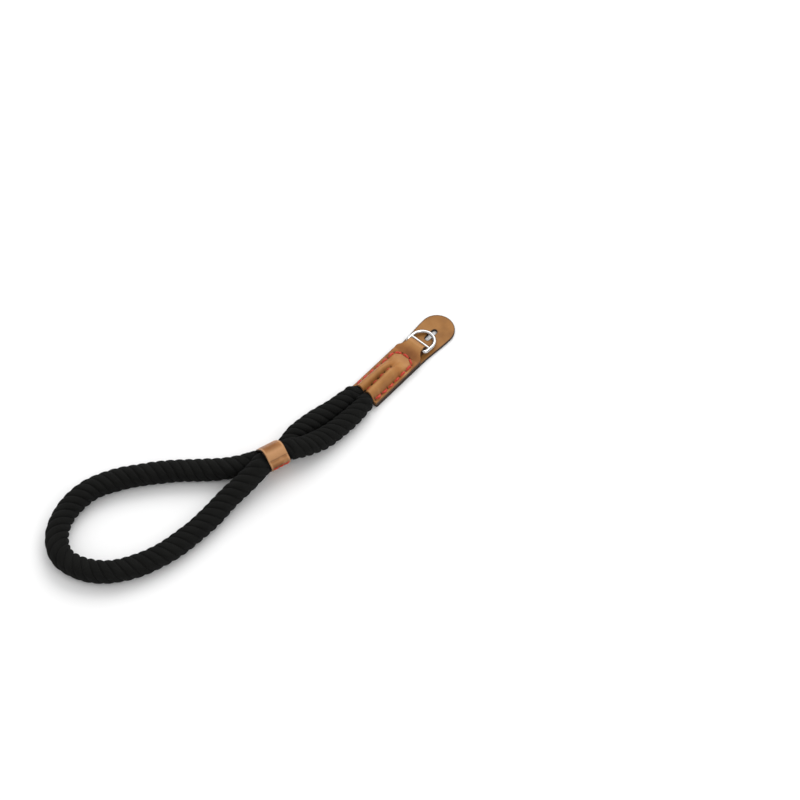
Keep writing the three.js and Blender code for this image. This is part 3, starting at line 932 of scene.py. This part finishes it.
def sleeve_stations():
    """The strip's path from the lower layer's mouth, round the fold, to the upper layer's mouth. Each row is
    the layer, the distance from the mouth, and the fold's angle where it is on the fold."""
    rows = [("lower", x, None) for x in (0.0, RIM_ROUND, *np.linspace(0.0006, FOLD_X, 40))]
    rows += [("fold", FOLD_X, math.radians(angle)) for angle in np.linspace(-82, 82, 22)]
    rows += [("upper", x, None) for x in (*np.linspace(FOLD_X, 0.0005, 150), RIM_ROUND, 0.0)]
    return rows


def layer_faces(layer, along, angle, across):
    """One row of the strip: how far along its outer and inner faces lie, and their heights."""
    level = np.ones(len(across))
    if layer == "lower":
        glued = SLEEVE_FLOOR + LEATHER - GLUE_GAP / 2
        return along, along, SLEEVE_FLOOR * level, glued * level
    if layer == "upper":
        outer = sleeve_top(along * level, across)
        return along, along, outer, np.maximum(outer - LEATHER, SLEEVE_FLOOR + LEATHER + GLUE_GAP / 2)
    places = []
    for radius in (FOLD_RADIUS, FOLD_RADIUS - LEATHER):
        places.append((FOLD_X + radius * math.cos(angle), FOLD_Z + radius * math.sin(angle)))
    (x_out, z_out), (x_in, z_in) = places
    return x_out, x_in, z_out * level, z_in * level


def sleeve_dye_shade_and_paleness(layer, along, across, half, outer):
    """How dark and how pale the leather is along one row: dyed dark at its rims; darkened by painted shade
    along its rows of stitches, at its holes and in the hollow before the fold; given painted highlights on
    the ridges and on the fold; and paler on the sewn panel's end."""
    dye_and_shade = smoothstep(np.abs(across), half - 0.0004, half - 0.00002)
    if layer == "fold":
        # The fold has its dyed rims and a painted highlight all over its round crown.
        return dye_and_shade, np.full(len(across), 0.6)
    dye_and_shade = np.maximum(dye_and_shade, 0.8 * (1 - smoothstep(along, 0.00005, 0.0004)))
    if layer == "lower":
        return dye_and_shade, np.zeros(len(across))
    # Painted shade in the hollow past the end row.
    hollow_shade = smoothstep(along, *HOLLOW_SHADE_FROM) * (1 - smoothstep(along, *HOLLOW_SHADE_TO))
    dye_and_shade = np.maximum(0.6 * dye_and_shade, 0.22 * hollow_shade)
    # Painted shade along each row of stitches, and darker still in its holes.
    for row, holes in SLEEVE_ROWS:
        dye_and_shade = np.maximum(dye_and_shade, 0.2 * bell(distance_to(row, along, across), 0.0012))
        dye_and_shade = np.maximum(dye_and_shade, 0.9 * bell(distance_to(holes, along, across), 0.00055))
    # Painted highlights: paler with height on the ridges, and rising towards the fold.
    height = (outer - FLAT_TOP) / (RIDGE_TOP - FLAT_TOP)
    paleness = np.clip(height, 0, 1) * 0.5 + 0.6 * smoothstep(along, *FOLD_HIGHLIGHT_FROM)
    panel = 1 - smoothstep(np.abs(across), *PANEL_SIDE)
    panel *= smoothstep(along, *PANEL_FROM) * (1 - smoothstep(along, *PANEL_TO))
    return dye_and_shade, np.maximum(paleness, 0.5 * panel)


def sleeve_rings():
    """The strip's closed sections in a row, with how far each of their points is darkened, by dye and
    painted shade, and how pale it is, by painted highlights and the paler panel.
    """
    columns = np.concatenate([[-1.0], np.linspace(-0.975, 0.975, 61), [1.0]])
    tuck = np.minimum(1.0, (1 - np.abs(columns)) / 0.05)
    rings = []
    edges = []
    paleness_rings = []
    for layer, along, angle in sleeve_stations():
        half = FOLD_HALF - 0.0003 * math.cos(angle) if layer == "fold" else float(sleeve_half(along))
        across = half * columns
        x_out, x_in, outer, inner = layer_faces(layer, along, angle, across)
        thickness = outer - inner
        pinch = 0.14 * (1 - tuck) ** 2 * thickness
        if along == 0.0:
            pinch = pinch + 0.1 * thickness
        ring = [(x_out, y, z) for y, z in zip(across, outer - pinch)]
        ring += [(x_in, y, z) for y, z in zip(across[::-1], (inner + pinch)[::-1])]
        dye_and_shade, paleness = sleeve_dye_shade_and_paleness(layer, along, across, half, outer - pinch)
        rings.append(ring)
        edges.append(np.concatenate([dye_and_shade, dye_and_shade[::-1]]))
        paleness_rings.append(np.concatenate([paleness, paleness[::-1]]))
    return rings, edges, paleness_rings


def build_sleeve():
    """Skins the folded strip over its sections, marks its dye and wear, and sets it in its place."""
    rings, edges, paleness_rings = sleeve_rings()
    piece = skin("end_sleeve_leather", np.array(rings))
    set_attribute(piece, "dye_and_shade", edges)
    set_attribute(piece, "paleness", paleness_rings)
    piece.data.transform(END_PLACE)
    return piece


sleeve = build_sleeve()
sleeve_leather = tan_leather(
    "sleeve_leather",
    shade=(0.24, 0.082, 0.018),
    tan=(0.345, 0.132, 0.032),
    light=(0.44, 0.22, 0.072),
    polish=0.06,
    pebbles=2100.0,
    centre=END_PLACE.translation,
)
sleeve.data.materials.append(sleeve_leather)
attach(sleeve, "strap")
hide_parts("end_sleeve")


# ---- Stitches ---------------------------------------------------------------------------------------
# Thick waxed red thread, sewn by hand with one stitch to each pair of holes: one row up the sleeve's side,
# round its end and back, a shorter one between the rope ends, and three that fix the keeper to the rope.
SLEEVE_THREAD = 0.0015
SLEEVE_STITCH = STITCH_PITCH - 0.0009
KEEPER_THREAD = 0.0008
KEEPER_STITCH = KEEPER_ROW[1] - KEEPER_ROW[0] - 0.0005
PLIES = 3
PLY_HOLLOW = 0.82
# A stitch's arch and its dip at each end are shares of the thread's width, and its twist is in radians.
STITCH_ARCH = 1.3
STITCH_DIP = 0.45
STITCH_TWIST = 5.5
STITCH_UNEVENNESS = 0.06
STITCH_SEED = 4


def stitch_tree():
    """Lays one twisted stitch on each edge of a mesh, turned by the edge's own heading and lift."""
    inputs = {
        "Rows": "Geometry",
        "Thread Width": "Float",
        "Stitch Length": "Float",
        "Arch": "Float",
        "Dip": "Float",
        "Twist": "Float",
        "Unevenness": "Float",
        "Seed": "Int",
        "Thread": "Material",
    }
    tree, given = open_tree("sewn_stitches", inputs)
    half = number(tree, "MULTIPLY", given["Stitch Length"], 0.5)
    back = number(tree, "MULTIPLY", given["Stitch Length"], -0.5)
    sunk = number(tree, "MULTIPLY", given["Dip"], -1.0)
    start = add_node(tree, "ShaderNodeCombineXYZ", {"X": back, "Z": sunk})
    middle = add_node(tree, "ShaderNodeCombineXYZ", {"Z": given["Arch"]})
    end = add_node(tree, "ShaderNodeCombineXYZ", {"X": half, "Z": sunk})
    line = add_node(
        tree,
        "GeometryNodeCurveQuadraticBezier",
        {"Resolution": 14, "Start": start.outputs[0], "Middle": middle.outputs[0], "End": end.outputs[0]},
    )
    share = tree.nodes.new("GeometryNodeSplineParameter").outputs["Factor"]
    turned = number(tree, "MULTIPLY", share, given["Twist"])
    twisted = add_node(tree, "GeometryNodeSetCurveTilt", {"Curve": line.outputs["Curve"], "Tilt": turned})
    radius = number(tree, "MULTIPLY", given["Thread Width"], 0.5)
    plies = add_node(
        tree,
        "GeometryNodeCurveStar",
        {
            "Points": PLIES,
            "Inner Radius": number(tree, "MULTIPLY", radius, PLY_HOLLOW),
            "Outer Radius": radius,
        },
    )
    rounded = add_node(tree, "GeometryNodeSubdivideCurve", {"Curve": plies.outputs["Curve"], "Cuts": 1})
    thread = add_node(
        tree,
        "GeometryNodeCurveToMesh",
        {"Curve": twisted.outputs["Curve"], "Profile Curve": rounded.outputs["Curve"], "Fill Caps": True},
    )
    smooth = add_node(tree, "GeometryNodeSetShadeSmooth", {0: thread.outputs["Mesh"]})
    points = add_node(tree, "GeometryNodeMeshToPoints", {"Mesh": given["Rows"]}, mode="EDGES")
    lift = carried(tree, "lift", "FLOAT_VECTOR")
    upright = add_node(tree, "FunctionNodeAlignRotationToVector", {"Vector": lift}, axis="Z")
    aimed = add_node(
        tree,
        "FunctionNodeAlignRotationToVector",
        {"Rotation": upright.outputs["Rotation"], "Vector": carried(tree, "heading", "FLOAT_VECTOR")},
        axis="X",
        pivot_axis="Z",
    )
    smallest = number(tree, "SUBTRACT", 1.0, given["Unevenness"])
    largest = number(tree, "ADD", 1.0, given["Unevenness"])
    size = add_node(
        tree,
        "FunctionNodeRandomValue",
        {"Min": smallest, "Max": largest, "Seed": given["Seed"]},
        data_type="FLOAT_VECTOR",
    )
    laid = add_node(
        tree,
        "GeometryNodeInstanceOnPoints",
        {
            "Points": points.outputs["Points"],
            "Instance": smooth.outputs[0],
            "Rotation": aimed.outputs["Rotation"],
            "Scale": size.outputs["Value"],
        },
    )
    return close_tree(tree, laid.outputs["Instances"], given["Thread"])


def stitch_rows(rows):
    """A mesh whose edges are the stitches. Each row is a list of holes, each with the leather's normal."""
    points = []
    headings = []
    lifts = []
    for row in rows:
        for (first, first_normal), (second, second_normal) in zip(row, row[1:]):
            points += [first.tolist(), second.tolist()]
            headings.append(unit(second - first))
            lifts.append(unit(first_normal + second_normal))
    mesh = bpy.data.meshes.new("stitch_rows")
    mesh.from_pydata(points, [(index, index + 1) for index in range(0, len(points), 2)], [])
    for name, vectors in (("heading", headings), ("lift", lifts)):
        attribute = mesh.attributes.new(name, "FLOAT_VECTOR", "EDGE")
        attribute.data.foreach_set("vector", np.array(vectors).ravel())
    return mesh


def red_thread():
    """Waxed red thread, darker where the wax has gathered."""
    material, tree, shader = new_material("red_waxed_thread", Roughness=0.5, Sheen_Weight=0.1)
    fuzz = noise(tree, add_node(tree, "ShaderNodeTexCoord").outputs["Object"], 2600.0, 3.0)
    dark = (0.30, 0.014, 0.006)
    red = (0.52, 0.030, 0.010)
    light = (0.68, 0.075, 0.028)
    colour = colour_ramp(tree, fuzz, (0.3, dark), (0.5, red), (0.72, light))
    tree.links.new(colour, shader.inputs["Base Color"])
    bumped(tree, shader, fuzz, 0.4, 0.0001)
    return material


def sleeve_surface(place):
    """The place and the normal of the sleeve's upper face at a place along and across it."""
    reach = 0.00015
    steps = np.array([[0, reach, -reach, 0, 0], [0, 0, 0, reach, -reach]])
    height = sleeve_top(*(np.array(place)[:, None] + steps))
    slope_along = (height[1] - height[2]) / (2 * reach)
    slope_across = (height[3] - height[4]) / (2 * reach)
    normal = Vector((-slope_along, -slope_across, 1)).normalized()
    point = END_PLACE @ Vector((*place, height[0]))
    return np.array(point), np.array(END_PLACE.to_3x3() @ normal)


def sewn(name, rows, tree, thread, width, length):
    """A piece of stitches that ride the strap, which arch over the leather and dive into their holes."""
    values = {
        "Thread Width": width,
        "Stitch Length": length,
        "Arch": STITCH_ARCH * width,
        "Dip": STITCH_DIP * width,
        "Twist": STITCH_TWIST,
        "Unevenness": STITCH_UNEVENNESS,
        "Seed": STITCH_SEED,
        "Thread": thread,
    }
    stitches = made_by_nodes(name, stitch_rows(rows), tree, values)
    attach(stitches, "strap")


stitch_nodes = stitch_tree()
thread = red_thread()
sleeve_seams = [[sleeve_surface(hole) for hole in holes] for _, holes in SLEEVE_ROWS]
sewn("sleeve_stitches", sleeve_seams, stitch_nodes, thread, SLEEVE_THREAD, SLEEVE_STITCH)
sewn("keeper_stitches", [keeper_holes()], stitch_nodes, thread, KEEPER_THREAD, KEEPER_STITCH)


# ---- D-ring -----------------------------------------------------------------------------------------
# Nickel-plated steel wire bent into a D and brazed shut, with a second bar across it. Its end bar turns in
# the sleeve's fold, and its bow lies on the guard pad, where a camera's lug goes through.
RING_WIRE = 0.00095
RING_HALF = 0.00615
RING_CORNER = 0.0017
RING_LEGS = 0.005
RING_REACH = 0.01185
CROSS_BAR = 0.0038
CROSS_BAR_WIRE = 0.0008
WIRE_SIDES = 20
WELD = 0.00001
RING_REST = PAD_THICK + 0.0003 + RING_WIRE


def ring_line():
    """The wire's middle line in the ring's own plane, from one leg round the bow and back by the end bar."""
    top = RING_HALF - RING_CORNER
    bow = np.linspace(-math.pi / 2, math.pi / 2, 65)
    leg = np.linspace(RING_LEGS, RING_CORNER, 6)[1:-1]
    places = [(RING_LEGS + (RING_REACH - RING_LEGS) * math.cos(a), RING_HALF * math.sin(a)) for a in bow]
    places += [(x, RING_HALF) for x in leg]
    places += arc(RING_CORNER, top, RING_CORNER, 90, 180, 9)
    places += [(0.0, y) for y in np.linspace(top, -top, 12)[1:-1]]
    places += arc(RING_CORNER, -top, RING_CORNER, 180, 270, 9)
    places += [(x, -RING_HALF) for x in leg[::-1]]
    return np.array([(x, y, 0.0) for x, y in places])


def wire_rings(line, radius, looped):
    """Round sections of a wire that is bent along a flat line."""
    if looped:
        tangent = unit(np.roll(line, -1, axis=0) - np.roll(line, 1, axis=0))
    else:
        tangent = unit(np.gradient(line, axis=0))
    up = np.array((0.0, 0.0, 1.0))
    side = np.cross(up, tangent)
    angles = 2 * np.pi * np.arange(WIRE_SIDES) / WIRE_SIDES
    across = np.cos(angles)[None, :, None] * side[:, None, :]
    raised = np.sin(angles)[None, :, None] * up[None, None, :]
    return line[:, None, :] + radius * (across + raised)


def build_ring():
    """Joins the bent wire and its second bar in one skin, and hangs it from the fold on to the pad."""
    wire = skin("d_ring_wire", wire_rings(ring_line(), RING_WIRE, looped=True), looped=True)
    bar_line = np.array([(CROSS_BAR, y, 0.0) for y in np.linspace(-RING_HALF, RING_HALF, 24)])
    bar = skin("cross_bar", wire_rings(bar_line, CROSS_BAR_WIRE, looped=False))
    joined = wire.modifiers.new("brazed", "BOOLEAN")
    joined.operation = "UNION"
    joined.solver = "EXACT"
    joined.object = bar
    settled(wire)
    bpy.data.objects.remove(bar)
    shape = bmesh.new()
    shape.from_mesh(wire.data)
    bmesh.ops.remove_doubles(shape, verts=shape.verts, dist=WELD)
    bmesh.ops.dissolve_degenerate(shape, edges=shape.edges, dist=WELD)
    hang = Matrix.Rotation(math.asin((FOLD_Z - RING_REST) / RING_REACH), 4, "Y")
    shape.transform(END_PLACE @ Matrix.Translation((FOLD_X, 0, FOLD_Z)) @ hang)
    shape.to_mesh(wire.data)
    shape.free()
    wire.data.shade_smooth()
    return wire


def bright_nickel():
    """Polished nickel plate, a little hazed by handling and finely scratched."""
    material, tree, shader = new_material("bright_nickel", Metallic=1.0)
    place = add_node(tree, "ShaderNodeTexCoord").outputs["Object"]
    smears = noise(tree, place, 420.0, 4.0)
    scratches = noise(tree, mapped(tree, place, Scale=(700.0, 5200.0, 700.0)), 1.0, 2.0)
    colour = colour_ramp(tree, smears, (0.35, (0.50, 0.49, 0.48)), (0.65, (0.60, 0.60, 0.60)))
    tree.links.new(colour, shader.inputs["Base Color"])
    tree.links.new(spread(tree, smears, (0.3, 0.7), (0.05, 0.13)), shader.inputs["Roughness"])
    bumped(tree, shader, scratches, 0.12, 0.00003)
    return material


ring = build_ring()
ring.data.materials.append(bright_nickel())
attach(ring, "ring")
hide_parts("d_ring")


# ---- Table and light --------------------------------------------------------------------------------
# A plain white table under one wide soft light from above and behind and a weak one in front. The sky is
# bright overhead and dim at its rim, so that the metal has something dark to mirror.
TABLE_REACH = 3.0
TABLE_TOP = -0.00002
SKY_AT_RIM = 0.18
SKY_OVERHEAD = 0.95


def build_table():
    """One wide white sheet, just below the strap so that the two don't share a plane."""
    mesh = bpy.data.meshes.new("table")
    signs = ((-1, -1), (1, -1), (1, 1), (-1, 1))
    corners = [(TABLE_REACH * x, TABLE_REACH * y, TABLE_TOP) for x, y in signs]
    mesh.from_pydata(corners, [], [(0, 1, 2, 3)])
    material, _, shader = new_material("white_table", Roughness=0.7)
    shader.inputs["Base Color"].default_value = (0.92, 0.92, 0.92, 1)
    mesh.materials.append(material)
    return placed("table", mesh)


def soft_light(name, place, size, power):
    """A rectangular softbox that is aimed at the middle of the strap."""
    lamp = placed(name, bpy.data.lights.new(name, "AREA"))
    lamp.data.shape = "RECTANGLE"
    lamp.data.size, lamp.data.size_y = size
    lamp.data.energy = power
    lamp.location = place
    lamp.rotation_euler = aimed_back(Vector(place))


build_table()
soft_light("window_softbox", (1.6, 1.0, 1.9), (2.2, 1.6), 35.0)
soft_light("front_softbox", (0.50, -1.00, 1.34), (0.6, 0.6), 3.0)
world = bpy.data.worlds.new("studio")
world.use_nodes = True
sky = world.node_tree
heading = add_node(sky, "ShaderNodeTexCoord").outputs["Generated"]
height = add_node(sky, "ShaderNodeSeparateXYZ", {"Vector": heading}).outputs["Z"]
glow = spread(sky, height, (0.0, 0.7), (SKY_AT_RIM, SKY_OVERHEAD))
sky.nodes["Background"].inputs["Color"].default_value = (1.0, 1.0, 1.0, 1.0)
sky.links.new(glow, sky.nodes["Background"].inputs["Strength"])
bpy.context.scene.world = world
bpy.context.scene.view_settings.view_transform = "Standard"
